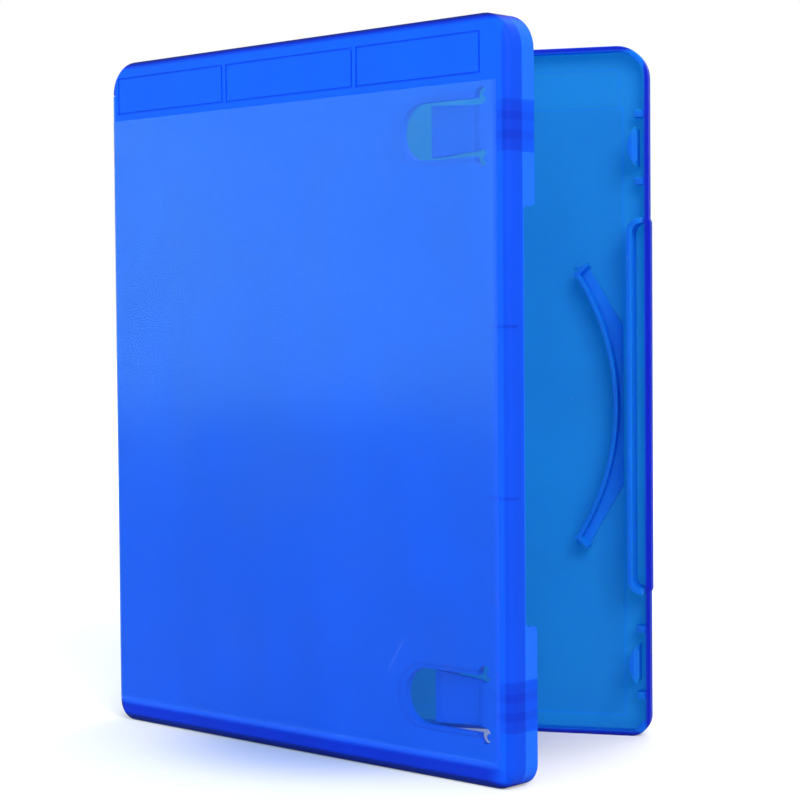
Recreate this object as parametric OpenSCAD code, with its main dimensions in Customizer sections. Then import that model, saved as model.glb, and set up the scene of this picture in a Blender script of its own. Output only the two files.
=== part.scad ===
// Keep case for one optical disc, standing on its bottom edge and partly open.
// Units are millimetres. The origin is the middle of the back cover's standing edge, with +Z up.
// The back cover runs along X and the case opens towards -Y.

/* [Case] */
// Height of the closed case
case_h = 171.5; // [150:0.5:200]
// Width of a cover, from spine to free edge
case_w = 135; // [125:0.5:150]
// Thickness of the closed case
case_t = 14; // [10:0.5:20]
// Thickness of the two cover plates and the spine
plate_t = 1.2; // [0.8:0.1:2]
// Radius of the two top corners of a cover
corner_top = 8; // [5:0.5:12]
// Radius of the two bottom corners of a cover
corner_bottom = 5; // [4:0.5:8]
// Rounding where a plate turns into its side walls
edge_round = 1.6; // [1.3:0.1:2.5]
// Length of the small facet inside a corner at the free edge
corner_facet = 4.4; // [3:0.1:6]

/* [Opening at rest] */
// Angle the spine has swung from the back cover's closed position
back_open = 19.7; // [0:0.1:90]
// Angle the front cover has swung from the spine's closed position
front_open = 7.1; // [0:0.1:90]

/* [Living hinges] */
// Distance from the hinge corner to the thick part on either side
hinge_reach = 1.6; // [1.2:0.1:2.5]
// Thickness of the bending web
web_t = 0.45; // [0.3:0.05:0.8]
// Gap between the ends of the spine and the cover corners
spine_gap = 0.3; // [0.2:0.1:1]

/* [Side walls] */
// Depth of the front cover's walls, measured from its outer face
front_rim = 8.9; // [6:0.1:11]
// Gap between the two rims when the case is shut
parting_gap = 0.2; // [0.1:0.05:0.5]
// Thickness of the walls beside the plates
wall_t = 1.2; // [0.9:0.1:2]
// Thickness of the front wall below its inner step
front_wall_t = 1.8; // [1.2:0.1:2.4]
// Depth at which the front wall steps thinner
front_step = 4.7; // [3:0.1:6]

/* [Finger notch] */
// Distance of the notch centre, also the disc centre, below the middle of the case
centre_drop = 3.3; // [0:0.05:8]
// Length of the notch in the front cover's free wall
notch_len = 93; // [60:1:120]
// Depth of the front wall inside the notch
notch_rim = 5; // [4:0.1:8]
// Slope length at each end of the notch
notch_slope = 1.1; // [0.2:0.1:3]
// Distance of the back cover's finger wall from its free edge
finger_inset = 3.7; // [2.5:0.1:6]
// Thickness of the finger wall
finger_wall_t = 1.3; // [0.9:0.1:2]
// Radius of the bends at both ends of the finger wall
finger_bend = 3.7; // [3:0.1:5]
// Depth reached by the finger wall and the snap walls
inner_wall = 9; // [6:0.1:9.1]
// Length that the back rim stands proud of the free edge along the notch
notch_proud = 0.4; // [0:0.1:0.8]

/* [Snap latches] */
// Height of the lower latch above the standing edge
latch_low = 18.45; // [16:0.05:30]
// Length of a snap wall on the back cover
snap_len = 9.5; // [6:0.1:14]
// Thickness of a snap wall at its middle
snap_t = 2; // [1.2:0.1:3]
// Distance of a snap wall from the free edge
snap_inset = 2.7; // [2.6:0.1:4]
// Depth of the bead on a snap wall
bead_depth = 7.2; // [6:0.1:8]
// Amount a bead stands out
bead_proud = 0.3; // [0.1:0.05:0.4]
// Length of a snap pad on the front cover
pad_len = 11.2; // [8:0.1:14]
// Thickness of a snap pad, measured from the thin wall
pad_t = 1.1; // [0.8:0.1:1.3]
// Distance of the two stubs from a latch centre
stub_v = 8.3; // [6:0.1:10]
// Width of a stub
stub_w = 1.8; // [1:0.1:2.2]
// Distance a stub reaches in from the free edge
stub_reach = 3.4; // [2:0.1:4]

/* [Disc seat] */
// Distance of the disc centre from the spine edge
hub_u = 65.7; // [62:0.1:72]
// Diameter of the disc
disc_d = 120; // [80:1:120]
// Diameter of the hole in the disc
disc_hole_d = 15; // [15:0.1:15.2]
// Depth at which the disc rests on its seat
seat_depth = 4.4; // [3:0.1:6]
// Diameter of the raised seat
seat_d = 34; // [24:0.5:40]
// Clearance of the hub in the disc hole, on the radius
hub_clear = 0.2; // [0.05:0.01:0.4]
// Height of the hub above its seat
hub_h = 4.2; // [3:0.1:5]
// Wall thickness of a spring finger
finger_t = 0.9; // [0.6:0.1:1.4]
// Number of spring fingers
fingers = 10; // [6:1:16]
// Width of the slit between two fingers
slit_w = 0.8; // [0.5:0.1:1.5]
// Diameter of the opening in the middle of the fingers
eye_d = 3; // [2:0.5:6]
// Amount a finger's tooth stands over the disc
tooth_proud = 0.15; // [0.05:0.05:0.3]
// Clearance between the disc edge and the edge ribs
edge_clear = 0.6; // [0.3:0.1:1.5]
// Thickness of an edge rib
edge_rib_t = 1; // [0.8:0.1:1.6]
// Depth reached by an edge rib
edge_rib_top = 6.4; // [5:0.1:8]
// Half the angle covered by an edge rib
edge_rib_half = 32.5; // [15:0.5:40]
// Length of the short leg at each end of an edge rib
edge_leg = 3.4; // [1:0.1:6]
// Direction of the legs, measured from straight outwards
leg_turn = 44.5; // [20:0.5:70]
// Height of the crescent pad behind an edge rib
crescent_h = 0.7; // [0.3:0.1:1.2]
// Distance of the crescent pad's straight side from the disc centre
crescent_u = 62.2; // [62:0.1:64]

/* [Booklet clips] */
// Distance of the window's round end from the spine edge
clip_u = 103.2; // [95:0.1:108]
// Distance of a clip tongue's tip from the spine edge
tongue_tip_u = 110.8; // [106:0.1:114]
// Distance of a clip tongue's root from the spine edge
tongue_root_u = 127.4; // [122:0.1:129]
// Width of a tongue at its tip
tongue_tip_w = 11.8; // [8:0.1:12]
// Width of a tongue at its root
tongue_root_w = 9.6; // [7:0.1:12]
// Depth at which a tongue lies, measured at its outer side
tongue_depth = 2; // [1.4:0.1:3]
// Thickness of a tongue
tongue_t = 1; // [0.8:0.1:1.4]
// Height of the ridge across a tongue
ridge_h = 0.7; // [0.3:0.1:1.2]
// Width of the window
window_w = 13; // [11:0.1:14]
// Width of the raised rim round the window, at its sides
window_rim = 0.9; // [0.5:0.1:1.5]
// Width of the raised rim at the window's round end
window_rim_end = 2.2; // [1:0.1:3]
// Height of the raised rim
window_rim_h = 0.6; // [0.3:0.1:1]
// Radius of the round mouths at the ends of the slots
mouth_r = 1.9; // [1.4:0.1:2.2]

/* [Header frames] */
// Distance of the front frames from the top edge
front_frame_top = 3.9; // [2:0.1:6]
// Distance of the back frames from the top edge
back_frame_top = 5.4; // [2:0.1:7]
// Height of the frames
frame_h = 9.5; // [6:0.1:12]
// Width of a frame's engraved line
line_w = 0.5; // [0.3:0.05:1]
// Depth of a frame's engraved line
line_depth = 0.3; // [0.1:0.05:0.5]
// Left ends of the three frames
frame_from = [2.8, 44.2, 88.9];
// Right ends of the three frames
frame_to = [43.1, 87.8, 127];

/* [Outer sleeve] */
// Thickness of the film
film_t = 0.12; // [0.1:0.01:0.3]
// Gap between the film and the case
film_gap = 0.05; // [0.02:0.01:0.2]
// Distance of the film's open edge from the top edge
film_top = 15; // [10:0.1:25]
// Distance of the film's welded edge from the standing edge
film_bottom = 4.6; // [3:0.1:10]
// Distance of the front film's welded edge from the free edge
film_front_side = 3.2; // [2:0.1:8]
// Distance of the back film's welded edge from the free edge
film_back_side = 6.9; // [2:0.1:10]
// Gap left in the film at each hinge corner
film_fold = 0.1; // [0.05:0.05:0.5]

/* [Hidden] */
$fn = 96;
eps = 0.01;
back_rim = case_t - front_rim - parting_gap;
foot_depth = (edge_round + back_rim) / 2;
step_wall_t = wall_t - 0.1;
centre_v = case_h / 2 - centre_drop;
latch_v = centre_v - latch_low;
spine_from = corner_bottom + spine_gap;
spine_to = case_h - corner_top - spine_gap;
spine_h = spine_to - spine_from;
notch_from = centre_v - notch_len / 2;
notch_to = centre_v + notch_len / 2;
back_turn = 90 - back_open;
front_turn = 90 - front_open;
back_bend_r = hinge_reach / tan(back_turn / 2);
front_bend_r = hinge_reach / tan(front_turn / 2);
hub_r = disc_hole_d / 2 - hub_clear;
hub_top = seat_depth + hub_h;
disc_t = 1.2;
rib_r = disc_d / 2 + edge_clear;
shell_blue = [0.08, 0.35, 0.95];
web_blue = [0.1, 0.42, 1];
film_clear = [0.8, 0.88, 1];

// Frames of the moving parts
// A cover is drawn lying flat: x from the spine, y up the case, z from the outer face inwards

module to_row() {
    translate([-case_w / 2, foot_depth, 0])
    children();
}

module place_back() {
    to_row()
    rotate([90, 0, 0])
    children();
}

module place_spine() {
    to_row()
    rotate([0, 0, -back_open])
    children();
}

module place_front() {
    place_spine()
    translate([0, -case_t, 0])
    rotate([0, 0, -front_open])
    rotate([90, 0, 0])
    mirror([0, 0, 1])
    children();
}

// Rounded cover shell

module outline(inset) {
    low = corner_bottom;
    top = case_h - corner_top;
    union() {
        translate([inset, low])
        square([case_w - 2 * inset, top - low]);
        translate([corner_top, low])
        square([case_w - 2 * corner_top, case_h - inset - low]);
        translate([corner_bottom, inset])
        square([case_w - 2 * corner_bottom, top - inset]);
        for (u = [corner_top, case_w - corner_top])
            translate([u, top])
            circle(r = corner_top - inset);
        for (u = [corner_bottom, case_w - corner_bottom])
            translate([u, low])
            circle(r = corner_bottom - inset);
    }
}

module slab(inset, from, to) {
    translate([0, 0, from])
    linear_extrude(height = to - from)
    outline(inset);
}

module corner_roll(u, v, turn, r_corner, inset, r) {
    translate([u, v, 0])
    rotate([0, 0, turn])
    rotate_extrude(angle = 90)
    translate([r_corner - inset, 0])
    circle(r = r);
}

module edge_roll(inset, r) {
    low = corner_bottom;
    top = case_h - corner_top;
    for (u = [inset, case_w - inset])
        translate([u, low, 0])
        rotate([-90, 0, 0])
        cylinder(r = r, h = top - low);
    translate([corner_top, case_h - inset, 0])
    rotate([0, 90, 0])
    cylinder(r = r, h = case_w - 2 * corner_top);
    translate([corner_bottom, inset, 0])
    rotate([0, 90, 0])
    cylinder(r = r, h = case_w - 2 * corner_bottom);
    corner_roll(case_w - corner_top, top, 0, corner_top, inset, r);
    corner_roll(corner_top, top, 90, corner_top, inset, r);
    corner_roll(corner_bottom, low, 180, corner_bottom, inset, r);
    corner_roll(case_w - corner_bottom, low, 270, corner_bottom, inset, r);
}

module tray_solid(inset, r, from, to) {
    union() {
        slab(inset + r, from, to);
        slab(inset, from + r, to);
        translate([0, 0, from + r])
        edge_roll(inset + r, r);
    }
}

module spine_opening() {
    translate([-1, spine_from - spine_gap, -1])
    cube([1 + hinge_reach, spine_h + 2 * spine_gap, case_t]);
}

module cover_shell(rim, wall) {
    difference() {
        tray_solid(0, edge_round, 0, rim);
        tray_solid(wall, max(edge_round - wall, 0.3), plate_t, rim + 1);
        spine_opening();
    }
}

module engraved_frames(from_top) {
    low = case_h - from_top - frame_h;
    for (i = [0 : len(frame_from) - 1])
        translate([frame_from[i], low, -eps])
        difference() {
            cube([frame_to[i] - frame_from[i], frame_h, line_depth + eps]);
            translate([line_w, line_w, -1])
            cube([frame_to[i] - frame_from[i] - 2 * line_w, frame_h - 2 * line_w, line_depth + 2]);
        }
}

// Back cover

module hub_profile() {
    crown = hub_top - finger_t;
    polygon([
        [hub_r - finger_t, seat_depth - plate_t],
        [hub_r, seat_depth - plate_t],
        [hub_r, hub_top - 1.2],
        [hub_r - 1.2, hub_top],
        [eye_d / 2, hub_top - 0.3],
        [eye_d / 2, crown - 0.3],
        [hub_r - 1.6, crown],
        [hub_r - finger_t, crown - 0.8]
    ]);
}

module tooth_profile() {
    base = seat_depth + disc_t + 0.25;
    polygon([
        [hub_r - 0.3, base],
        [hub_r, base],
        [hub_r + tooth_proud, base + 0.35],
        [hub_r, base + 1.1],
        [hub_r - 0.3, base + 1.1]
    ]);
}

module hub_fingers() {
    difference() {
        rotate_extrude()
        union() {
            hub_profile();
            tooth_profile();
        }
        for (i = [0 : fingers - 1])
            rotate([0, 0, i * 360 / fingers])
            translate([0, -slit_w / 2, seat_depth + 0.4])
            cube([hub_r + 1, slit_w, hub_h + 1]);
    }
}

module seat_profile() {
    outer = seat_d / 2;
    polygon([
        [hub_r - finger_t, seat_depth - plate_t],
        [outer - plate_t - 0.8, seat_depth - plate_t],
        [outer - plate_t, 0],
        [outer, 0],
        [outer + 0.6, plate_t],
        [outer - 0.4, seat_depth - 0.3],
        [outer - 0.8, seat_depth],
        [hub_r + 2.6, seat_depth],
        [hub_r + 2.2, seat_depth - 0.5],
        [hub_r - 0.1, seat_depth - 0.5],
        [hub_r - finger_t, seat_depth - 0.5]
    ]);
}

module edge_rib() {
    mid_r = rib_r + edge_rib_t / 2;
    rib_h = edge_rib_top - plate_t + eps;
    rotate([0, 0, -edge_rib_half])
    rotate_extrude(angle = 2 * edge_rib_half)
    translate([rib_r, plate_t - eps])
    square([edge_rib_t, rib_h]);
    for (side = [-1, 1])
        translate([mid_r * cos(edge_rib_half), side * mid_r * sin(edge_rib_half), plate_t - eps]) {
            cylinder(r = edge_rib_t * 0.8, h = rib_h);
            rotate([0, 0, side * leg_turn])
            translate([0, -edge_rib_t / 2, 0])
            cube([edge_leg, edge_rib_t, rib_h]);
        }
}

module crescent_pad() {
    end_u = rib_r * cos(edge_rib_half) + edge_leg * 0.72;
    end_v = rib_r * sin(edge_rib_half) + edge_leg * 0.7;
    difference() {
        translate([0, 0, plate_t - eps])
        linear_extrude(height = crescent_h + eps)
        polygon([
            [crescent_u - 12, -end_v], [end_u, -end_v], [crescent_u, -20],
            [crescent_u, 20], [end_u, end_v], [crescent_u - 12, end_v]
        ]);
        translate([0, 0, -1])
        cylinder(r = rib_r + edge_rib_t / 2, h = case_t, $fn = 180);
    }
}

module snap_wall() {
    round_r = (pow(snap_len / 2, 2) + snap_t * snap_t) / (2 * snap_t);
    straight_u = case_w - snap_inset;
    difference() {
        intersection() {
            translate([straight_u - snap_t + round_r, 0, plate_t - eps])
            cylinder(r = round_r, h = inner_wall - plate_t + eps);
            translate([straight_u - snap_t - 1, -snap_len / 2, 0])
            cube([snap_t + 1, snap_len, case_t]);
        }
        translate([straight_u - 0.7, -snap_len, inner_wall])
        rotate([0, 45, 0])
        cube([2, 2 * snap_len, 2]);
    }
    intersection() {
        translate([straight_u - 0.35, -snap_len / 2 + 1.2, bead_depth])
        rotate([-90, 0, 0])
        cylinder(r = 0.35 + bead_proud, h = snap_len - 2.4);
        translate([straight_u - 0.6, -snap_len, 0])
        cube([2, 2 * snap_len, case_t]);
    }
}

module stubs() {
    for (side = [-1, 1])
        translate([case_w - stub_reach, side * stub_v - stub_w / 2, plate_t - eps])
        cube([stub_reach - wall_t + 0.2, stub_w, back_rim - plate_t - 0.2]);
}

module finger_wall() {
    bend_v = notch_len / 2 - finger_bend;
    outer_u = case_w - finger_inset;
    wall_h = inner_wall - plate_t + eps;
    translate([outer_u - finger_wall_t, centre_v - bend_v, plate_t - eps])
    cube([finger_wall_t, 2 * bend_v, wall_h]);
    for (side = [0, 1])
        translate([outer_u - finger_wall_t + finger_bend, centre_v + (2 * side - 1) * bend_v, plate_t - eps])
        rotate([0, 0, 180 - 90 * side])
        rotate_extrude(angle = 90)
        translate([finger_bend - finger_wall_t, 0])
        square([finger_wall_t, wall_h]);
}

module corner_cut(r_corner) {
    half = min(corner_facet / 2, 0.8 * (r_corner - wall_t));
    reach = r_corner * sqrt(2) - sqrt(pow(r_corner - wall_t, 2) - half * half);
    translate([-reach, -case_t, 0])
    cube([case_t, 2 * case_t, case_t]);
}

module corner_facets() {
    intersection() {
        tray_solid(wall_t / 2, edge_round - wall_t / 2, plate_t - 0.3, back_rim - 0.3);
        union() {
            translate([case_w, case_h, 0])
            rotate([0, 0, 45])
            corner_cut(corner_top);
            translate([case_w, 0, 0])
            rotate([0, 0, -45])
            corner_cut(corner_bottom);
        }
    }
}

module notch_lip() {
    translate([0, 0, edge_round + 0.2])
    linear_extrude(height = back_rim - edge_round - 0.2)
    polygon([
        [case_w - wall_t / 2, notch_from], [case_w, notch_from],
        [case_w + notch_proud, notch_from + 1], [case_w + notch_proud, notch_to - 1],
        [case_w, notch_to], [case_w - wall_t / 2, notch_to]
    ]);
}

module back_cover_body() {
    difference() {
        union() {
            difference() {
                cover_shell(back_rim, wall_t);
                translate([hub_u, centre_v, -1])
                cylinder(r = seat_d / 2 - 0.2, h = case_t);
            }
            translate([hub_u, centre_v, 0]) {
                rotate_extrude()
                seat_profile();
                hub_fingers();
            }
            for (turn = [0, 180])
                translate([hub_u, centre_v, 0])
                rotate([0, 0, turn]) {
                    edge_rib();
                    crescent_pad();
                }
            for (side = [-1, 1])
                translate([0, centre_v + side * latch_v, 0]) {
                    snap_wall();
                    stubs();
                }
            finger_wall();
            corner_facets();
            notch_lip();
        }
        engraved_frames(back_frame_top);
    }
}

module back_cover() {
    color(shell_blue)
    place_back()
    back_cover_body();
}

// Front cover

module notch_cut() {
    translate([case_w - front_wall_t - 2, 0, 0])
    rotate([90, 0, 90])
    linear_extrude(height = front_wall_t + 4)
    polygon([
        [notch_from - notch_slope, front_rim + 1],
        [notch_from, front_rim - notch_slope],
        [notch_from, notch_rim + 0.8],
        [notch_from + 0.8, notch_rim],
        [notch_to - 0.8, notch_rim],
        [notch_to, notch_rim + 0.8],
        [notch_to, front_rim - notch_slope],
        [notch_to + notch_slope, front_rim + 1]
    ]);
}

module step_cut() {
    difference() {
        slab(step_wall_t, front_step, front_rim + 1);
        translate([-1, -1, 0])
        cube([hinge_reach + 1, case_h + 2, case_t]);
    }
}

module snap_pad() {
    groove = case_t - bead_depth;
    thin_u = case_w - step_wall_t;
    difference() {
        translate([thin_u - pad_t, -pad_len / 2, plate_t - eps])
        cube([pad_t + 0.3, pad_len, front_rim - 0.4 - plate_t]);
        translate([thin_u - pad_t - 0.25, -pad_len, groove])
        rotate([-90, 0, 0])
        cylinder(r = 0.7, h = 2 * pad_len);
    }
    for (side = [-1, 0, 1])
        translate([thin_u - pad_t, side * pad_len * 0.38 + 0.4, 0])
        rotate([90, 0, 0])
        linear_extrude(height = 0.8)
        polygon([[0.2, plate_t - eps], [-2.4, plate_t - eps], [-2.4, plate_t + 0.4], [0.2, front_step - 0.1]]);
}

module notch_gussets() {
    for (side = [-1, 1])
        translate([case_w - front_wall_t, centre_v + side * 19.3 + 0.4, 0])
        rotate([90, 0, 0])
        linear_extrude(height = 0.8)
        polygon([[0.2, plate_t - eps], [-1.6, plate_t - eps], [-1.6, plate_t + 0.4], [0.2, front_step - 0.2]]);
}

module window_outline() {
    round_r = window_w / 2;
    mouth_u = tongue_root_u - 0.2;
    union() {
        translate([clip_u + round_r, 0])
        circle(r = round_r);
        translate([clip_u + round_r, -round_r])
        square([mouth_u - clip_u - round_r, window_w]);
        for (side = [-1, 1])
            translate([mouth_u, side * (round_r + 0.4)])
            difference() {
                circle(r = mouth_r);
                translate([mouth_r * 0.75, side * mouth_r * 0.1])
                circle(r = mouth_r * 0.42);
            }
    }
}

module window_rim_outline() {
    outer = window_w / 2 + window_rim;
    end_u = clip_u - window_rim_end + outer;
    union() {
        translate([end_u, 0])
        circle(r = outer);
        translate([end_u, -outer])
        square([tongue_root_u - end_u - 0.2, 2 * outer]);
        for (side = [-1, 1])
            translate([tongue_root_u - 0.2, side * (window_w / 2 + 0.4)])
            circle(r = mouth_r + window_rim);
    }
}

module tongue_outline() {
    polygon([
        [tongue_root_u + 1, -tongue_root_w / 2],
        [tongue_root_u + 1, tongue_root_w / 2],
        [tongue_tip_u, tongue_tip_w / 2],
        [tongue_tip_u, -tongue_tip_w / 2]
    ]);
}

module tongue_side() {
    slope_u = tongue_root_u - 3.4;
    tip = tongue_tip_u;
    low = tongue_depth;
    top = tongue_depth + tongue_t;
    polygon([
        [tongue_root_u + 1, 0], [tongue_root_u + 1, plate_t], [tongue_root_u - 0.4, plate_t],
        [slope_u, top], [tip + 6.6, top], [tip + 6, top + ridge_h], [tip + 2.6, top + ridge_h],
        [tip + 2, top], [tip + 0.8, top], [tip, top - 0.4], [tip, low],
        [slope_u - 0.3, low], [tongue_root_u - 0.7, 0]
    ]);
}

module tongue() {
    difference() {
        intersection() {
            linear_extrude(height = case_t)
            tongue_outline();
            translate([0, tongue_tip_w, 0])
            rotate([90, 0, 0])
            linear_extrude(height = 2 * tongue_tip_w)
            tongue_side();
        }
        translate([tongue_tip_u + 3.1, -3.9, tongue_depth + tongue_t])
        cube([2.4, 7.8, ridge_h + 1]);
    }
}

module clip_rims() {
    for (side = [-1, 1])
        translate([0, centre_v + side * latch_v, plate_t - eps])
        linear_extrude(height = window_rim_h + eps)
        window_rim_outline();
}

module clip_windows() {
    for (side = [-1, 1])
        translate([0, centre_v + side * latch_v, -1])
        linear_extrude(height = plate_t + window_rim_h + 2)
        window_outline();
}

module clip_tongues() {
    for (side = [-1, 1])
        translate([0, centre_v + side * latch_v, 0])
        tongue();
}

module front_cover_body() {
    union() {
        difference() {
            union() {
                cover_shell(front_rim, front_wall_t);
                clip_rims();
            }
            step_cut();
            notch_cut();
            clip_windows();
            engraved_frames(front_frame_top);
        }
        clip_tongues();
        for (side = [-1, 1])
            translate([0, centre_v + side * latch_v, 0])
            snap_pad();
        notch_gussets();
    }
}

module front_cover() {
    color(shell_blue)
    place_front()
    front_cover_body();
}

// Spine and living hinges

module spine() {
    color(shell_blue)
    place_spine()
    translate([0, hinge_reach - case_t, spine_from])
    cube([plate_t, case_t - 2 * hinge_reach, spine_h]);
}

module bent_web(radius, turn) {
    rotate_extrude(angle = turn)
    translate([radius - web_t, spine_from])
    square([web_t, spine_h]);
}

module back_living_hinge() {
    color(web_blue)
    to_row()
    translate([hinge_reach, -back_bend_r, 0])
    rotate([0, 0, 90])
    bent_web(back_bend_r, back_turn);
}

module front_living_hinge() {
    color(web_blue)
    place_spine()
    translate([front_bend_r, hinge_reach - case_t, 0])
    rotate([0, 0, 180])
    bent_web(front_bend_r, front_turn);
}

// Outer sleeve

module cover_film(side) {
    translate([film_fold, film_bottom, -film_gap - film_t])
    cube([case_w - side - film_fold, case_h - film_top - film_bottom, film_t]);
}

module sleeve_back() {
    color(film_clear)
    place_back()
    cover_film(film_back_side);
}

module sleeve_spine() {
    color(film_clear)
    place_spine()
    translate([-film_gap - film_t, film_fold - case_t, film_bottom])
    cube([film_t, case_t - 2 * film_fold, case_h - film_top - film_bottom]);
}

module sleeve_front() {
    color(film_clear)
    place_front()
    cover_film(film_front_side);
}

back_cover();
spine();
front_cover();
back_living_hinge();
front_living_hinge();
sleeve_back();
sleeve_spine();
sleeve_front();
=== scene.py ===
"""Looks of a translucent blue keep case for one optical disc, standing part open on a pale floor."""

import logging
import math
from collections.abc import Callable
from dataclasses import dataclass, field
from enum import Enum

import bpy
from mathutils import Matrix, Vector


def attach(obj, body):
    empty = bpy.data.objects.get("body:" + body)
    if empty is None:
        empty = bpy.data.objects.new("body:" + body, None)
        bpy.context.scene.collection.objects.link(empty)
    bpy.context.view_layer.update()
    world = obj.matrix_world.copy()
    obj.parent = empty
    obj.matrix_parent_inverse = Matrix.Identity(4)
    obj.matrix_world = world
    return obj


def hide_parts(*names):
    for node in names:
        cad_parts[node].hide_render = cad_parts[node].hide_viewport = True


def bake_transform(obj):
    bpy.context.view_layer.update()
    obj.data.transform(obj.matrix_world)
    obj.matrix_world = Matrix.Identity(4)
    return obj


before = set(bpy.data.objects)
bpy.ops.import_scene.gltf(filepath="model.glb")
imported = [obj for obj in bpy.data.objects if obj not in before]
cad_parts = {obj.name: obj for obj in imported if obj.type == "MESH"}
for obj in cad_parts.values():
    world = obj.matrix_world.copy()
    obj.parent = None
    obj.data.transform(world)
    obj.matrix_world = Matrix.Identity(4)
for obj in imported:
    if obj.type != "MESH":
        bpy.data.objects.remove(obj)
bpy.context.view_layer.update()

log = logging.getLogger("disc_case")

MM = 0.001
Point = tuple[float, float, float]
Flat = tuple[float, float]
Colour = tuple[float, float, float, float]
Rect = tuple[float, float, float, float]
Socket = bpy.types.NodeSocket


class Cover(Enum):
    """The two covers of the case, by the name of their body."""

    FRONT = "front_cover"
    BACK = "back_cover"


@dataclass(frozen=True)
class CaseSizes:
    """Main sizes of the case in millimetres, repeated from the solids' source.

    Attributes:
        height: Height of the closed case.
        width: Width of a cover from the spine to its free edge.
        thickness: Thickness of the closed case.
        plate: Thickness of the cover plates and the spine.
        foot_depth: Depth of the frame's origin inside the back cover's outer face.
        back_open: Angle of the spine away from its shut place, in degrees.
        front_open: Angle of the front cover away from its shut place on the spine, in degrees.
        hinge_reach: Distance of the thick plastic from each hinge corner.
        web: Thickness of a living hinge.
        spine_from: Lower end of the spine.
        spine_to: Upper end of the spine.
        front_step: Depth at which the front walls turn thinner.
        disc_v: Height of the disc centre.
        latch_v: Distance of the latches and clips above and below the disc centre.
        clip_from: Distance of the clip windows' rounded ends from the spine edge.
        clip_to: Distance of the clip tongues' roots from the spine edge.
        clip_half: Half the height of a clip window.
        clip_rim: Width of the raised rim beside a clip window.
        clip_rim_end: Width of the raised rim round a window's end.
        tongue_tip: Distance of the clip tongues' tips from the spine edge.
        back_frame_top: Distance of the back header frames from the top edge.
        frame_height: Height of the header frames.
        frames: Left and right ends of the three header frames.
        film_from: Height of the film's welded lower edge.
        film_to: Height of the film's open upper edge.
        film_front_side: Distance of the front film's welded side from the free edge.
        film_back_side: Distance of the back film's welded side from the free edge.
    """

    height: float = 171.5
    width: float = 135.0
    thickness: float = 14.0
    plate: float = 1.2
    foot_depth: float = 3.25
    back_open: float = 19.7
    front_open: float = 7.1
    hinge_reach: float = 1.6
    web: float = 0.45
    spine_from: float = 5.3
    spine_to: float = 163.2
    front_step: float = 4.7
    disc_v: float = 82.45
    latch_v: float = 64.0
    clip_from: float = 103.2
    clip_to: float = 127.4
    clip_half: float = 6.5
    clip_rim: float = 0.9
    clip_rim_end: float = 2.2
    tongue_tip: float = 110.8
    back_frame_top: float = 5.4
    frame_height: float = 9.5
    frames: tuple[Flat, ...] = ((2.8, 43.1), (44.2, 87.8), (88.9, 127.0))
    film_from: float = 4.6
    film_to: float = 156.5
    film_front_side: float = 3.2
    film_back_side: float = 6.9

    @property
    def back_turn(self) -> float:
        """Angle of the back hinge's bend, in degrees."""
        return 90 - self.back_open

    @property
    def front_turn(self) -> float:
        """Angle of the front hinge's bend, in degrees."""
        return 90 - self.front_open

    @property
    def back_bend(self) -> float:
        """Outer radius of the back hinge's bend."""
        return self.hinge_reach / math.tan(math.radians(self.back_turn / 2))

    @property
    def front_bend(self) -> float:
        """Outer radius of the front hinge's bend."""
        return self.hinge_reach / math.tan(math.radians(self.front_turn / 2))


SIZES = CaseSizes()


def corner_frame() -> Matrix:
    """Returns the matrix from the back hinge corner's frame, in millimetres, to the row frame.

    Returns:
        A 4x4 matrix: x along the back cover, y outwards, z up.
    """
    return Matrix.Scale(MM, 4) @ Matrix.Translation((-SIZES.width / 2, SIZES.foot_depth, 0))


def spine_frame() -> Matrix:
    """Returns the matrix from the spine's own frame, in millimetres, to the row frame.

    Returns:
        A 4x4 matrix: the spine runs along -y from the back hinge corner, z is up.
    """
    return corner_frame() @ Matrix.Rotation(math.radians(-SIZES.back_open), 4, "Z")


def cover_frame(cover: Cover) -> Matrix:
    """Returns the matrix from a cover's own frame, in millimetres, to the row frame.

    The own frame has x from the spine, y up the case and z from the outer face inwards.

    Args:
        cover: The cover.

    Returns:
        A 4x4 matrix that also turns millimetres into metres.
    """
    lie = Matrix.Rotation(math.radians(90), 4, "X")
    if cover is Cover.BACK:
        return corner_frame() @ lie
    swing = Matrix.Rotation(math.radians(-SIZES.front_open), 4, "Z")
    shift = Matrix.Translation((0, -SIZES.thickness, 0))
    return spine_frame() @ shift @ swing @ lie @ Matrix.Scale(-1, 4, (0, 0, 1))


# Camera and studio


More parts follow.
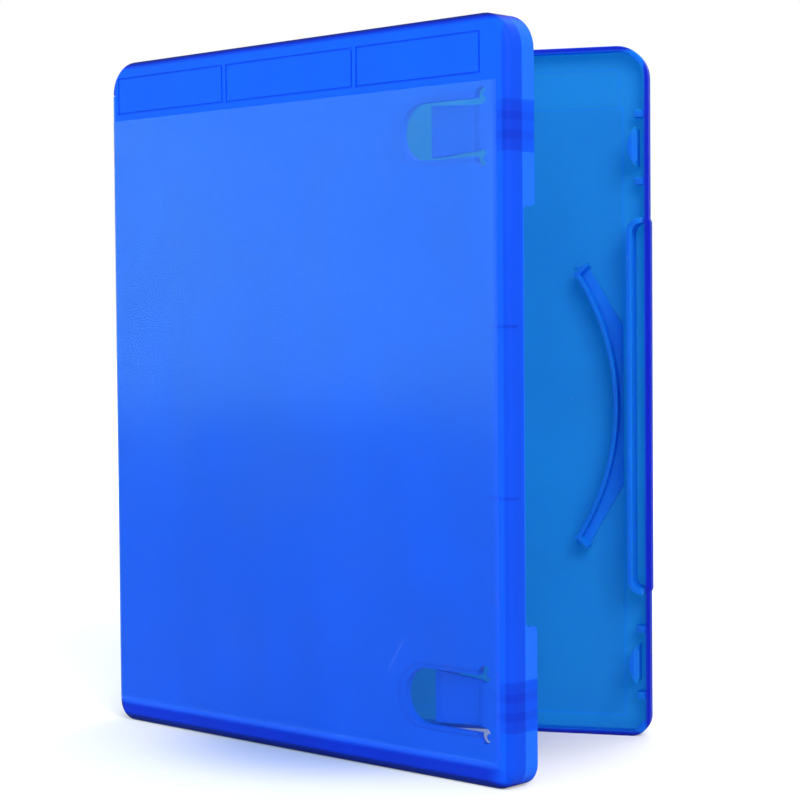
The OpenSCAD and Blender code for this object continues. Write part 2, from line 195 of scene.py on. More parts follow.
@dataclass(frozen=True)
class StudioCamera:
    """Camera at the photograph's place.

    Attributes:
        place: Position in millimetres in the row frame.
        azimuth: Heading away from straight at the back cover, in degrees.
        pitch: Angle looked down, in degrees.
        roll: Turn of the picture, in degrees.
        focal: Focal length in pixels of a picture 800 pixels wide.
    """

    place: Point = (151.924, -513.679, 102.770)
    azimuth: float = 16.193
    pitch: float = 2.037
    roll: float = -0.465
    focal: float = 2082.13

    def build(self) -> bpy.types.Object:
        """Makes the camera and sets it as the scene's own.

        Returns:
            The camera object.
        """
        heading = math.radians(self.azimuth)
        pitch, roll = math.radians(self.pitch), math.radians(self.roll)
        right = Vector((math.cos(heading), math.sin(heading), 0))
        level = Vector((-math.sin(heading), math.cos(heading), 0))
        forward = level * math.cos(pitch) - Vector((0, 0, 1)) * math.sin(pitch)
        up = level * math.sin(pitch) + Vector((0, 0, 1)) * math.cos(pitch)
        right_rolled = right * math.cos(roll) + up * math.sin(roll)
        up_rolled = up * math.cos(roll) - right * math.sin(roll)
        data = bpy.data.cameras.new("studio_camera")
        data.sensor_width = 36.0
        data.lens = self.focal / 800 * 36.0
        data.clip_start, data.clip_end = 0.01, 50.0
        camera = bpy.data.objects.new("studio_camera", data)
        bpy.context.scene.collection.objects.link(camera)
        columns = Matrix((right_rolled, up_rolled, -forward)).transposed()
        camera.matrix_world = Matrix.Translation(Vector(self.place) * MM) @ columns.to_4x4()
        bpy.context.scene.camera = camera
        return camera


class NodeBoard:
    """A small helper that adds and joins nodes in one tree."""

    def __init__(self, tree: bpy.types.NodeTree) -> None:
        """Keeps the tree.

        Args:
            tree: The node tree to work in.
        """
        self.tree = tree

    def add(self, kind: str, **values: object) -> bpy.types.Node:
        """Adds a node and sets its properties and sockets.

        Args:
            kind: The node's type name.
            **values: Properties by name, or input sockets by name with spaces as underscores.

        Returns:
            The new node.
        """
        node = self.tree.nodes.new(kind)
        for name, value in values.items():
            if hasattr(node, name):
                setattr(node, name, value)
            else:
                self.feed(value, node.inputs[name.replace("_", " ")])
        return node

    def feed(self, value: object, target: Socket) -> None:
        """Gives an input socket a link or a plain value.

        Args:
            value: An output socket to link, a node whose first output is linked, or a value.
            target: The input socket.
        """
        if isinstance(value, bpy.types.Node):
            value = value.outputs[0]
        if isinstance(value, Socket):
            self.tree.links.new(value, target)
        else:
            target.default_value = value

    def math(self, operation: str, *values: object) -> Socket:
        """Adds a Math node.

        Args:
            operation: The operation's name.
            *values: Sockets or numbers, in the order of the node's inputs.

        Returns:
            The result socket.
        """
        node = self.tree.nodes.new("ShaderNodeMath")
        node.operation = operation
        for socket, value in zip(node.inputs, values):
            self.feed(value, socket)
        return node.outputs[0]

    def off(self, value: object, middle: object) -> Socket:
        """Adds the nodes for the distance of a value from a middle value."""
        return self.math("ABSOLUTE", self.math("SUBTRACT", value, middle))

    def most(self, *values: object) -> Socket:
        """Adds the nodes for the largest of several values.

        Args:
            *values: Sockets or numbers.

        Returns:
            The largest value's socket.
        """
        result = values[0]
        for value in values[1:]:
            result = self.math("MAXIMUM", result, value)
        return result

    def ramp(self, value: object, low: float, high: float, at_low: float = 0, at_high: float = 1) -> Socket:
        """Maps a value smoothly from one range to another.

        Args:
            value: The socket to map.
            low: Start of the range.
            high: End of the range.
            at_low: Result at the start.
            at_high: Result at the end.

        Returns:
            The result socket.
        """
        node = self.tree.nodes.new("ShaderNodeMapRange")
        node.interpolation_type = "SMOOTHSTEP"
        for socket, part in zip(node.inputs, (value, low, high, at_low, at_high)):
            self.feed(part, socket)
        return node.outputs[0]

    def blend(self, factor: object, first: object, second: object, mode: str = "MIX") -> Socket:
        """Mixes two colours.

        Args:
            factor: Share of the second colour.
            first: The first colour.
            second: The second colour.
            mode: The blend type.

        Returns:
            The colour socket.
        """
        node = self.tree.nodes.new("ShaderNodeMix")
        node.data_type = "RGBA"
        node.blend_type = mode
        self.feed(factor, node.inputs[0])
        self.feed(first, node.inputs[6])
        self.feed(second, node.inputs[7])
        return node.outputs[2]


@dataclass
class Studio:
    """Pale floor with painted shade round the case, plain surroundings and soft lamps.

    Attributes:
        floor_colour: Colour of the floor.
        near_glow: Light added to the floor beside the case where it is seen.
        far_glow: Light added to the floor far from the case, so that it meets the white surroundings.
        world_light: Strength of the surroundings where they light the case.
        room_light: Strength of the surroundings behind the camera, as the case mirrors them.
    """

    floor_colour: Colour = (0.72, 0.72, 0.73, 1.0)
    near_glow: float = 0.4
    far_glow: float = 0.75
    world_light: float = 0.46
    room_light: float = 0.3

    def build(self) -> None:
        """Makes the world, the floor and the lamps."""
        self._world()
        self._floor()
        self._lamp("key_lamp", (0.75, -1.1, 0.95), (0.0, -0.02, 0.09), 0.9, 24.0, (1.0, 1.0, 1.0))
        self._lamp("side_lamp", (-1.275, -0.44, 0.33), (0.0, -0.04, 0.33), 0.6, 10.0, (0.3, 0.85, 1.0))
        self._lamp("back_lamp", (0.35, 0.95, 0.8), (0.0, 0.0, 0.09), 0.9, 5.6, (1.0, 1.0, 1.0))

    def _seen(self, board: NodeBoard, path: bpy.types.Node, *kinds: str) -> Socket:
        """Returns 1 for rays from the camera and for passed rays, and for the other kinds named."""
        return board.most(*(path.outputs[f"Is {kind} Ray"] for kind in ("Camera", "Transmission", *kinds)))

    def _world(self) -> None:
        """Makes the surroundings: white behind the case, dimmer behind the camera where mirrored."""
        world = bpy.data.worlds.new("pale_surroundings")
        bpy.context.scene.world = world
        world.use_nodes = True
        board = NodeBoard(world.node_tree)
        world.node_tree.nodes.clear()
        path = board.add("ShaderNodeLightPath")
        way = board.add("ShaderNodeSeparateXYZ", Vector=board.add("ShaderNodeTexCoord").outputs["Generated"])
        room = board.ramp(way.outputs["Y"], 0.15, -0.35, 0.0, 1.0 - self.room_light)
        strength = board.math("SUBTRACT", 1.0, board.math("MULTIPLY", path.outputs["Is Glossy Ray"], room))
        lit = board.add("ShaderNodeBackground", Color=(0.97, 0.98, 1.0, 1.0), Strength=self.world_light)
        white = board.add("ShaderNodeBackground", Color=(1.0, 1.0, 1.0, 1.0), Strength=strength)
        mix = board.add("ShaderNodeMixShader")
        board.feed(self._seen(board, path, "Glossy"), mix.inputs[0])
        board.feed(lit, mix.inputs[1])
        board.feed(white, mix.inputs[2])
        board.add("ShaderNodeOutputWorld", Surface=mix)

    def _floor(self) -> None:
        """Makes the wide pale floor, which brightens away from the case, with a painted blue shadow between
        and in front of the covers and painted contact shade close round it.
        """
        mesh = bpy.data.meshes.new("floor")
        reach = 6.0
        corners = [(-reach, -reach, 0), (reach, -reach, 0), (reach, reach, 0), (-reach, reach, 0)]
        mesh.from_pydata(corners, [], [(0, 1, 2, 3)])
        floor = bpy.data.objects.new("floor", mesh)
        bpy.context.scene.collection.objects.link(floor)
        material = bpy.data.materials.new("pale_floor")
        material.use_nodes = True
        board = NodeBoard(material.node_tree)
        shader = material.node_tree.nodes["Principled BSDF"]
        shader.inputs["Roughness"].default_value = 0.7
        shader.inputs["Specular IOR Level"].default_value = 0.1
        shader.inputs["Emission Color"].default_value = (1.0, 1.0, 1.0, 1.0)
        spot = board.add("ShaderNodeTexCoord").outputs["Object"]
        away = board.add("ShaderNodeVectorMath", operation="LENGTH", Vector=spot)
        inside = board.add("ShaderNodeMapping", Vector=spot, Location=(0.005, 0.025, 0.0))
        inside = board.add("ShaderNodeVectorMath", operation="LENGTH", Vector=inside).outputs["Value"]
        # Painted blue shadow: the floor between and in front of the covers is mixed towards blue, standing in
        # for light that passes through the blue plastic.
        painted_blue_shadow = board.blend(board.ramp(inside, 0.02, 0.055), (0.36, 0.46, 0.66, 1.0), self.floor_colour)
        board.feed(painted_blue_shadow, shader.inputs["Base Color"])
        glow = board.ramp(away.outputs["Value"], 0.2, 0.9, self.near_glow, self.far_glow)
        # Painted contact shade: the added glow fades out towards the case, so the floor darkens close round
        # it.
        glow = board.math("MULTIPLY", glow, board.ramp(away.outputs["Value"], 0.02, 0.1))
        seen = self._seen(board, board.add("ShaderNodeLightPath"))
        board.feed(board.math("MULTIPLY", seen, glow), shader.inputs["Emission Strength"])
        mesh.materials.append(material)

    def _lamp(self, name: str, place: Point, aim: Point, size: float, power: float, colour: Point) -> None:
        """Makes one soft square lamp.

        Args:
            name: Name of the lamp.
            place: Position in metres.
            aim: Point it faces, in metres.
            size: Side of the square in metres.
            power: Power in watts.
            colour: Colour of the light.
        """
        data = bpy.data.lights.new(name, "AREA")
        data.shape = "SQUARE"
        data.size = size
        data.energy = power
        data.color = colour
        lamp = bpy.data.objects.new(name, data)
        bpy.context.scene.collection.objects.link(lamp)
        lamp.location = place
        lamp.rotation_mode = "QUATERNION"
        lamp.rotation_quaternion = (Vector(aim) - Vector(place)).to_track_quat("-Z", "Y")


# Shared surface effects

Fill = Callable[[NodeBoard, bpy.types.Node, bpy.types.Node], None]


class Effects:
    """Shader node groups that several finishes share, each built once."""

    def __init__(self) -> None:
        """Starts with no groups."""
        self._built: dict[str, bpy.types.NodeTree] = {}

    def group(
        self, name: str, inputs: dict[str, str], outputs: dict[str, str], fill: Fill
    ) -> bpy.types.NodeTree:
        """Returns a group, and builds it the first time.

        Args:
            name: Name of the group.
            inputs: Socket type of each named input.
            outputs: Socket type of each named output.
            fill: Function that lays the nodes between the group's input and output nodes.

        Returns:
            The node tree.
        """
        if name in self._built:
            return self._built[name]
        tree = bpy.data.node_groups.new(name, "ShaderNodeTree")
        for label, kind in inputs.items():
            tree.interface.new_socket(name=label, in_out="INPUT", socket_type=f"NodeSocket{kind}")
        for label, kind in outputs.items():
            tree.interface.new_socket(name=label, in_out="OUTPUT", socket_type=f"NodeSocket{kind}")
        board = NodeBoard(tree)
        fill(board, board.add("NodeGroupInput"), board.add("NodeGroupOutput"))
        self._built[name] = tree
        return tree

    def place(self, board: NodeBoard, tree: bpy.types.NodeTree, **values: object) -> bpy.types.Node:
        """Places a group in a material.

        Args:
            board: The material's nodes.
            tree: The group.
            **values: Inputs by name with spaces as underscores.

        Returns:
            The group node.
        """
        node = board.add("ShaderNodeGroup", node_tree=tree)
        for name, value in values.items():
            board.feed(value, node.inputs[name.replace("_", " ")])
        return node

    def moulded_skin(self) -> bpy.types.NodeTree:
        """Cloudy colour, flow streaks, fine grain and soft waviness of moulded plastic.

        Returns:
            The node tree.
        """

        def fill(board: NodeBoard, start: bpy.types.Node, end: bpy.types.Node) -> None:
            """Lays the nodes of the moulded skin.

            Args:
                board: The group's nodes.
                start: The group's input node.
                end: The group's output node.
            """
            spot = start.outputs["Vector"]
            cloud = board.add("ShaderNodeTexNoise", Vector=spot, Scale=38.0, Detail=1.0, Roughness=0.55)
            stretch = board.add("ShaderNodeMapping", Vector=spot, Scale=(70.0, 70.0, 9.0))
            streak = board.add("ShaderNodeTexNoise", Vector=stretch, Scale=1.0, Detail=0.0)
            both = board.math("ADD", cloud.outputs[0], board.math("MULTIPLY", streak.outputs[0], 0.7))
            shade = board.ramp(both, 0.55, 1.15, -1.0, 1.0)
            change = board.math("MULTIPLY", shade, start.outputs["Cloudiness"])
            factor = board.math("ADD", change, 1.0)
            board.feed(board.blend(1.0, start.outputs["Colour"], factor, "MULTIPLY"), end.inputs["Colour"])
            grain = board.add("ShaderNodeTexNoise", Vector=spot, Scale=2600.0, Detail=0.0)
            wave = board.add("ShaderNodeTexNoise", Vector=spot, Scale=90.0, Detail=0.0)
            rough = board.math("MULTIPLY_ADD", grain.outputs[0], 0.12, start.outputs["Roughness"])
            board.feed(board.math("MULTIPLY_ADD", change, 0.4, rough), end.inputs["Roughness"])
            fine = board.add("ShaderNodeBump", Height=grain, Strength=0.12, Distance=0.00004)
            soft = board.add("ShaderNodeBump", Height=wave, Strength=0.25, Distance=0.00012, Normal=fine)
            board.feed(soft, end.inputs["Normal"])

        inputs = {"Vector": "Vector", "Colour": "Color", "Cloudiness": "Float", "Roughness": "Float"}
        outputs = {"Colour": "Color", "Roughness": "Float", "Normal": "Vector"}
        return self.group("moulded_skin", inputs, outputs, fill)

    def handling_wear(self) -> bpy.types.NodeTree:
        """Hairline scratches and a few specks of dust.

        Returns:
            The node tree, whose masks are 1 on a scratch or a speck.
        """

        def fill(board: NodeBoard, start: bpy.types.Node, end: bpy.types.Node) -> None:
            """Lays the nodes of the scratches and the dust.

            Args:
                board: The group's nodes.
                start: The group's input node.
                end: The group's output node.
            """
            spot = start.outputs["Vector"]
            lines: list[Socket] = []
            patch = board.add("ShaderNodeTexNoise", Vector=spot, Scale=60.0, Detail=0.0).outputs[0]
            for turn, long, shown in ((0.5, 9.0, (0.56, 0.66)), (-0.9, 7.0, (0.44, 0.34))):
                turned = (turn, turn * 0.6, turn)
                lay = board.add("ShaderNodeMapping", Vector=spot, Rotation=turned, Scale=(long, 160.0, 160.0))
                cell = board.add("ShaderNodeTexVoronoi", feature="DISTANCE_TO_EDGE", Vector=lay, Scale=1.0)
                line = board.ramp(cell.outputs[0], 0.012, 0.0)
                lines.append(board.math("MULTIPLY", line, board.ramp(patch, *shown)))
            speck = board.add("ShaderNodeTexVoronoi", Vector=spot, Scale=190.0)
            chance = board.add("ShaderNodeSeparateColor", Color=speck.outputs["Color"]).outputs[0]
            near = board.ramp(speck.outputs["Distance"], 0.05, 0.02)
            dot = board.math("MULTIPLY", near, board.ramp(chance, 0.9, 0.95))
            scratches = board.math("MULTIPLY", board.most(*lines), start.outputs["Scratches"])
            board.feed(scratches, end.inputs["Scratches"])
            board.feed(board.math("MULTIPLY", dot, start.outputs["Dust"]), end.inputs["Dust"])

        inputs = {"Vector": "Vector", "Scratches": "Float", "Dust": "Float"}
        return self.group("handling_wear", inputs, {"Scratches": "Float", "Dust": "Float"}, fill)

    def film_ripple(self) -> bpy.types.NodeTree:
        """Slack waves, fine haze and small wrinkles of a thin clear film.

        Returns:
            The node tree.
        """

        def fill(board: NodeBoard, start: bpy.types.Node, end: bpy.types.Node) -> None:
            """Lays the nodes of the film's waves.

            Args:
                board: The group's nodes.
                start: The group's input node.
                end: The group's output node.
            """
            spot = start.outputs["Vector"]
            lay = board.add("ShaderNodeMapping", Vector=spot, Scale=(22.0, 22.0, 9.0))
            wave = board.add("ShaderNodeTexNoise", Vector=lay, Scale=1.0, Detail=1.0)
            small = board.add("ShaderNodeTexNoise", Vector=spot, Scale=160.0, Detail=0.0)
            haze = board.add("ShaderNodeTexNoise", Vector=spot, Scale=30.0, Detail=1.0)
            slack = board.add("ShaderNodeBump", Height=wave, Strength=start.outputs["Waves"], Distance=0.0006)
            fine = board.add("ShaderNodeBump", Height=small, Strength=0.01, Distance=0.00003, Normal=slack)
            board.feed(fine, end.inputs["Normal"])
            board.feed(board.ramp(haze.outputs[0], 0.3, 0.75), end.inputs["Haze"])

        return self.group(
            "film_ripple", {"Vector": "Vector", "Waves": "Float"}, {"Haze": "Float", "Normal": "Vector"}, fill
        )

    def line_frames(self, name: str, rects: list[Rect], width: float) -> bpy.types.NodeTree:
        """Thin lines round flat rectangles in a cover's own frame.

        Args:
            name: Name of the group.
            rects: Left, low, right and high side of each rectangle in millimetres.
            width: Half the width of the lines in millimetres.

        Returns:
            The node tree, whose mask is 1 on a line.
        """

        def fill(board: NodeBoard, start: bpy.types.Node, end: bpy.types.Node) -> None:
            """Lays the nodes of the line mask.

            Args:
                board: The group's nodes.
                start: The group's input node.
                end: The group's output node.
            """
            place = board.add("ShaderNodeSeparateXYZ", Vector=start.outputs["Vector"])
            masks: list[Socket] = []
            for left, low, right, high in rects:
                across = board.off(place.outputs[0], (left + right) / 2)
                along = board.off(place.outputs[1], (low + high) / 2)
                gap_u = board.math("SUBTRACT", across, (right - left) / 2)
                gap_v = board.math("SUBTRACT", along, (high - low) / 2)
                gap = board.math("ABSOLUTE", board.math("MAXIMUM", gap_u, gap_v))
                masks.append(board.ramp(gap, width, width * 0.35))
            board.feed(board.most(*masks), end.inputs["Lines"])

        return self.group(name, {"Vector": "Vector"}, {"Lines": "Float"}, fill)


EFFECTS = Effects()


# Finishes

DUST_COLOUR: Colour = (0.75, 0.82, 0.95, 1.0)
Section = Callable[[NodeBoard, Socket], Socket]


@dataclass(frozen=True)
class PlasticFinish:
    """Translucent moulded plastic whose colour deepens where the section is thick.

    Attributes:
        name: Name of the material.
        thin: Colour where the section is 1.1 mm thick.
        plate: Colour of the plain plate, 1.2 mm thick.
        thick: Colour at 3.6 mm, as on ribs and walls.
        solid: Colour at 5 mm, as along a rim.
        roughness: Roughness of the surface.
        transmission: Share of the light that goes straight through.
        glow: Share of the other light that spreads inside the plastic before it comes out.
        cloudiness: Strength of the cloudy colour.
        scratches: Strength of the hairline scratches.
        dust: Strength of the dust specks.
    """

    name: str
    thin: Colour
    plate: Colour
    thick: Colour
    solid: Colour
    roughness: float = 0.55
    transmission: float = 0.15
    glow: float = 0.0
    cloudiness: float = 0.05
    scratches: float = 0.35
    dust: float = 0.4

    def build(self, section: Section | None = None) -> bpy.types.Material:
        """Makes the material.

        Args:
            section: Function that lays the section's thickness in millimetres over the surface.

        Returns:
            The material.
        """
        material = bpy.data.materials.new(self.name)
        material.use_nodes = True
        board = NodeBoard(material.node_tree)
        shader = material.node_tree.nodes["Principled BSDF"]
        spot = board.add("ShaderNodeTexCoord").outputs["Object"]
        colour: object = self.plate if section is None else self._tones(board, section(board, spot))
        skin = EFFECTS.place(
            board,
            EFFECTS.moulded_skin(),
            Vector=spot,
            Colour=colour,
            Cloudiness=self.cloudiness,
            Roughness=self.roughness,
        )
        wear_tree = EFFECTS.handling_wear()
        wear = EFFECTS.place(board, wear_tree, Vector=spot, Scratches=self.scratches, Dust=self.dust)
        pale = board.math("MULTIPLY", wear.outputs["Dust"], 0.5)
        base = board.blend(pale, skin.outputs["Colour"], DUST_COLOUR)
        board.feed(base, shader.inputs["Base Color"])
        rough = board.math("MULTIPLY_ADD", wear.outputs["Scratches"], 0.25, skin.outputs["Roughness"])
        board.feed(rough, shader.inputs["Roughness"])
        board.feed(skin.outputs["Normal"], shader.inputs["Normal"])
        shader.inputs["IOR"].default_value = 1.49
        shader.inputs["Specular IOR Level"].default_value = 0.05
        shader.inputs["Transmission Weight"].default_value = self.transmission
        shader.inputs["Subsurface Weight"].default_value = self.glow
        shader.inputs["Subsurface Radius"].default_value = (0.3, 0.6, 1.0)
        shader.inputs["Subsurface Scale"].default_value = 0.012
        return material

    def _tones(self, board: NodeBoard, depth: Socket) -> Socket:
        """Turns the section's thickness into a colour.

        Args:
            board: The material's nodes.
            depth: The thickness in millimetres.

        Returns:
            The colour socket.
        """
        deepest = 6.0
        node = board.add("ShaderNodeValToRGB", Fac=board.math("DIVIDE", depth, deepest))
        stops = node.color_ramp.elements
        stops[0].position, stops[0].color = 1.1 / deepest, self.thin
        stops[1].position, stops[1].color = 5.0 / deepest, self.solid
        stops.new(1.2 / deepest).color = self.plate
        stops.new(3.6 / deepest).color = self.thick
        return node.outputs["Color"]


@dataclass(frozen=True)
class FilmFinish:
    """Thin clear film over the plastic.

    Attributes:
        name: Name of the material.
        tint: Colour of the faint haze.
        veil: Share of what lies behind that the haze hides.
        roughness: Roughness of the film.
        waves: Strength of the slack waves.
        cloudy: Amount by which the haze varies.
    """

    name: str
    tint: Colour = (0.0, 0.1, 0.5, 1.0)
    veil: float = 0.2
    roughness: float = 0.13
    waves: float = 0.15
    cloudy: float = 0.04

    def build(self) -> bpy.types.Material:
        """Makes the material.

        Returns:
            The material.
        """
        material = bpy.data.materials.new(self.name)
        material.use_nodes = True
        board = NodeBoard(material.node_tree)
        shader = material.node_tree.nodes["Principled BSDF"]
        spot = board.add("ShaderNodeTexCoord").outputs["Object"]
        ripple = EFFECTS.place(board, EFFECTS.film_ripple(), Vector=spot, Waves=self.waves)
        wear = EFFECTS.place(board, EFFECTS.handling_wear(), Vector=spot, Scratches=0.5, Dust=0.6)
        marks = board.most(board.math("MULTIPLY", wear.outputs["Scratches"], 0.25), wear.outputs["Dust"])
        veil = board.math("MULTIPLY_ADD", ripple.outputs["Haze"], self.cloudy, self.veil)
        veil = board.math("MULTIPLY_ADD", marks, 0.2, veil)
        outside = board.math("SUBTRACT", 1.0, board.add("ShaderNodeNewGeometry").outputs["Backfacing"])
        board.feed(board.math("MULTIPLY", veil, outside), shader.inputs["Alpha"])
        board.feed(board.blend(marks, self.tint, (0.8, 0.86, 0.95, 1.0)), shader.inputs["Base Color"])
        rough = board.math("MULTIPLY_ADD", ripple.outputs["Haze"], 0.05, self.roughness)
        board.feed(rough, shader.inputs["Roughness"])
        board.feed(ripple.outputs["Normal"], shader.inputs["Normal"])
        shader.inputs["IOR"].default_value = 1.5
        shader.inputs["Specular IOR Level"].default_value = 0.45
        shader.inputs["Coat Weight"].default_value = 0.15
        shader.inputs["Coat Roughness"].default_value = 0.15
        return material


# Section depth of the covers


@dataclass(frozen=True)
class SectionExtras:
    """Thickness in millimetres that each form adds to the plate, as the colour shows it.

    Attributes:
        low_wall: The front walls below their step.
        thin_wall: The front walls past their step, which are thinner than the plate.
        pad: The latch pads.
        bead: The latch beads behind them.
        tick: The two short marks in the finger notch.
        foot: The band along the bottom edge.
        rim: The top and bottom edges and the edge by the spine, partly their real thickness and partly a
            painted dark outline.
        seam: The film's welded lower seam.
        clip_line: The edge of a clip window's rim.
        clip_fill: The rim itself.
        clip_lip: The lip at a tongue's tip.
        back_tall: Ribs and walls on the back cover.
        back_rim: The back cover's rim.
        back_lines: Lines that show through the back cover.
    """

    low_wall: float = 1.0
    thin_wall: float = -0.12
    pad: float = 0.7
    bead: float = 0.4
    tick: float = 0.8
    foot: float = 2.3
    rim: float = 3.2
    seam: float = 0.9
    clip_line: float = 0.9
    clip_fill: float = 0.22
    clip_lip: float = 0.45
    back_tall: float = 2.4
    back_rim: float = 1.4
    back_lines: float = 0.7


EXTRA = SectionExtras()


@dataclass(frozen=True)
class CoverSections:
    """Works out how thick the plastic is behind each point of a cover.

    Attributes:
        cover: The cover.
    """

    cover: Cover

    def own_place(self, board: NodeBoard, spot: Socket) -> Socket:
        """Turns object coordinates into the cover's own frame in millimetres.

        Args:
            board: The material's nodes.
            spot: The object coordinates.

        Returns:
            The vector socket. On the front cover its third part is minus the depth.
        """
        own = cover_frame(self.cover).inverted()
        if self.cover is Cover.FRONT:
            own = Matrix.Scale(-1, 4, (0, 0, 1)) @ own
        turn = (own.to_3x3() * MM).to_euler()
        node = board.add("ShaderNodeMapping", Vector=spot, Rotation=tuple(turn), Scale=(1 / MM,) * 3)
        node.inputs["Location"].default_value = own.to_translation()
        return node.outputs[0]

    def lay(self, board: NodeBoard, spot: Socket) -> Socket:
        """Lays the section's thickness over the cover.

        Args:
            board: The material's nodes.
            spot: The object coordinates.

        Returns:
            The thickness socket, in millimetres.
        """
        place = self.own_place(board, spot)
        part = board.add("ShaderNodeSeparateXYZ", Vector=place)
        depth = board.math("ABSOLUTE", part.outputs[2])
        if self.cover is Cover.FRONT:
            return self._front(board, part, depth)
        return self._back(board, place, part, depth)

    def _edge(self, board: NodeBoard, part: bpy.types.Node) -> Socket:
        """Returns the distance of a point inside the cover's three walled sides.

        Args:
            board: The material's nodes.
            part: The separated own place.

        Returns:
            The distance socket, in millimetres.
        """
        from_side = board.math("SUBTRACT", SIZES.width, part.outputs[0])
        up = board.off(part.outputs[1], SIZES.height / 2)
        return board.math("MINIMUM", from_side, board.math("SUBTRACT", SIZES.height / 2, up))

    def _side_gap(self, board: NodeBoard, part: bpy.types.Node) -> Socket:
        """Returns the distance of a point from the cover's free edge."""
        return board.math("SUBTRACT", SIZES.width, part.outputs[0])

    def _rim_gap(self, board: NodeBoard, part: bpy.types.Node) -> Socket:
        """Adds the nodes for the distance of a point inside the top and bottom edges, or from the spine.

        Args:
            board: The material's nodes.
            part: The separated own place.

        Returns:
            The distance socket, in millimetres.
        """
        up = board.off(part.outputs[1], SIZES.height / 2)
        inside = board.math("SUBTRACT", SIZES.height / 2, up)
        return board.math("MINIMUM", inside, board.off(part.outputs[0], 0.4))

    def _front(self, board: NodeBoard, part: bpy.types.Node, depth: Socket) -> Socket:
        """Thickness over the front cover: stepped walls, latch pads, clip rims, bottom edge and film seam.

        Args:
            board: The material's nodes.
            part: The separated own place.
            depth: The depth from the outer face.

        Returns:
            The thickness socket.
        """
        step = SIZES.front_step
        below_step = board.ramp(depth, step + 0.1, step - 0.1)
        low_wall = board.math("MULTIPLY", board.ramp(self._edge(board, part), 2.2, 1.4), below_step)
        thin_wall = board.ramp(depth, step, step + 0.2)
        latch = board.off(part.outputs[1], SIZES.disc_v)
        latch = board.off(latch, SIZES.latch_v)
        clip = self._clip(board, part.outputs[0], latch)
        pad = board.math("MULTIPLY", board.ramp(latch, 5.9, 5.3), board.ramp(part.outputs[0], 131.0, 132.4))
        bead = board.off(latch, 2.1)
        bead = board.math("MULTIPLY", board.ramp(bead, 1.1, 0.8), board.ramp(part.outputs[0], 128.6, 129.6))
        tick = board.off(part.outputs[1], SIZES.disc_v + 1.1)
        tick = board.off(tick, 18.9)
        tick = board.math("MULTIPLY", board.ramp(tick, 0.5, 0.2), board.ramp(part.outputs[0], 128.4, 129.2))
        tick = board.math("MULTIPLY", tick, board.ramp(depth, step - 1.0, step - 2.5))
        from_side = self._side_gap(board, part)
        foot = board.math("MULTIPLY", board.ramp(part.outputs[1], 4.8, 3.9), board.ramp(from_side, 0.0, 8.0))
        # The rims take the dark solid tone: partly their real thickness, partly a painted dark outline along
        # the top, bottom and spine edges.
        rim = board.ramp(self._rim_gap(board, part), 1.9, 0.0)
        seam = board.ramp(board.off(part.outputs[1], SIZES.film_from), 0.6, 0.1)
        seam = board.math("MULTIPLY", seam, board.ramp(from_side, 2.8, 5.0))
        forms = (
            (low_wall, EXTRA.low_wall),
            (thin_wall, EXTRA.thin_wall),
            (pad, EXTRA.pad),
            (bead, EXTRA.bead),
            (tick, EXTRA.tick),
            (foot, EXTRA.foot),
            (rim, EXTRA.rim),
            (seam, EXTRA.seam),
        )
        total = board.math("ADD", clip, SIZES.plate)
        for share, extra in forms:
            total = board.math("MULTIPLY_ADD", share, extra, total)
        return total

    def _clip(self, board: NodeBoard, across: Socket, up: Socket) -> Socket:
        """Extra thickness round the clip windows: the raised rim, its edge and the tongue's lip.

        Args:
            board: The material's nodes.
            across: Distance from the spine edge.
            up: Distance above or below the middle of a clip.

        Returns:
            The extra thickness socket, in millimetres.
        """
        outer = SIZES.clip_half + SIZES.clip_rim
        end = SIZES.clip_from - SIZES.clip_rim_end + outer
        past = board.math("MINIMUM", board.math("SUBTRACT", across, end), 0.0)
        squares = board.math("ADD", board.math("POWER", past, 2.0), board.math("POWER", up, 2.0))
        away = board.math("SQRT", squares)
        before_root = board.ramp(across, SIZES.clip_to + 1.2, SIZES.clip_to + 0.6)
        line = board.ramp(board.off(away, outer), 0.4, 0.1)
        fill = board.ramp(away, outer, outer - 0.3)
        lip = board.ramp(board.off(across, SIZES.tongue_tip + 0.9), 1.1, 0.7)
        lip = board.math("MULTIPLY", lip, board.ramp(up, 5.6, 5.2))
        extra = board.math("MULTIPLY", line, EXTRA.clip_line)
        extra = board.math("MULTIPLY_ADD", fill, EXTRA.clip_fill, extra)
        extra = board.math("MULTIPLY_ADD", lip, EXTRA.clip_lip, extra)
        return board.math("MULTIPLY", extra, before_root)

    def _back(self, board: NodeBoard, place: Socket, part: bpy.types.Node, depth: Socket) -> Socket:
        """Thickness over the back cover: ribs and rim, and the lines that show through the plate.

        Args:
            board: The material's nodes.
            place: The own place.
            part: The separated own place.
            depth: The depth from the outer face.

        Returns:
            The thickness socket.
        """
        # On the back cover the tall forms take a brighter tone than the plate: painted light on the ribs.
        tall = board.ramp(depth, 1.4, 2.4)
        rim = board.ramp(self._edge(board, part), 1.7, 0.6)
        low = SIZES.height - SIZES.back_frame_top - SIZES.frame_height
        rects = [(left, low, right, low + SIZES.frame_height) for left, right in SIZES.frames]
        rects.append((-9.0, SIZES.film_from, SIZES.width - SIZES.film_back_side, SIZES.film_to))
        lines = EFFECTS.place(board, EFFECTS.line_frames("lines_behind_plate", rects, 0.45), Vector=place)
        total = board.math("MULTIPLY_ADD", tall, EXTRA.back_tall, SIZES.plate)
        total = board.math("MULTIPLY_ADD", rim, EXTRA.back_rim, total)
        return board.math("MULTIPLY_ADD", lines.outputs[0], EXTRA.back_lines, total)


# Thin upright pieces


